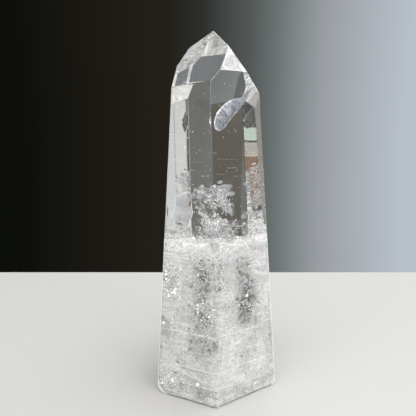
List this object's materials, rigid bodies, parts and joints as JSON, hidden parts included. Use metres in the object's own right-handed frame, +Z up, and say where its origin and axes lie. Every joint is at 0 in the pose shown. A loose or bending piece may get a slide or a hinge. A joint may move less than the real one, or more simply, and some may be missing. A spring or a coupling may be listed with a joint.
{
  "type": "quartz point",
  "caption": "Clear quartz ground to a tapering six-sided prism with a faceted off-centre tip, standing on a flat sawn base.",
  "frame": {"origin": "middle of the stone's box, on the plane of its flat base", "axes": "+Z up along the stone, from base to tip; -Y is the front, where an upright edge stands between the two widest faces; +X is to the right"},
  "size_m": [0.029, 0.0378, 0.0899],
  "materials": {
    "clear_quartz": "high polish, water-clear at the tip, milky with veils and fractures towards the base"
  },
  "bodies": {
    "root": {"quartz_point": "clear_quartz"}
  },
  "joints": []
}
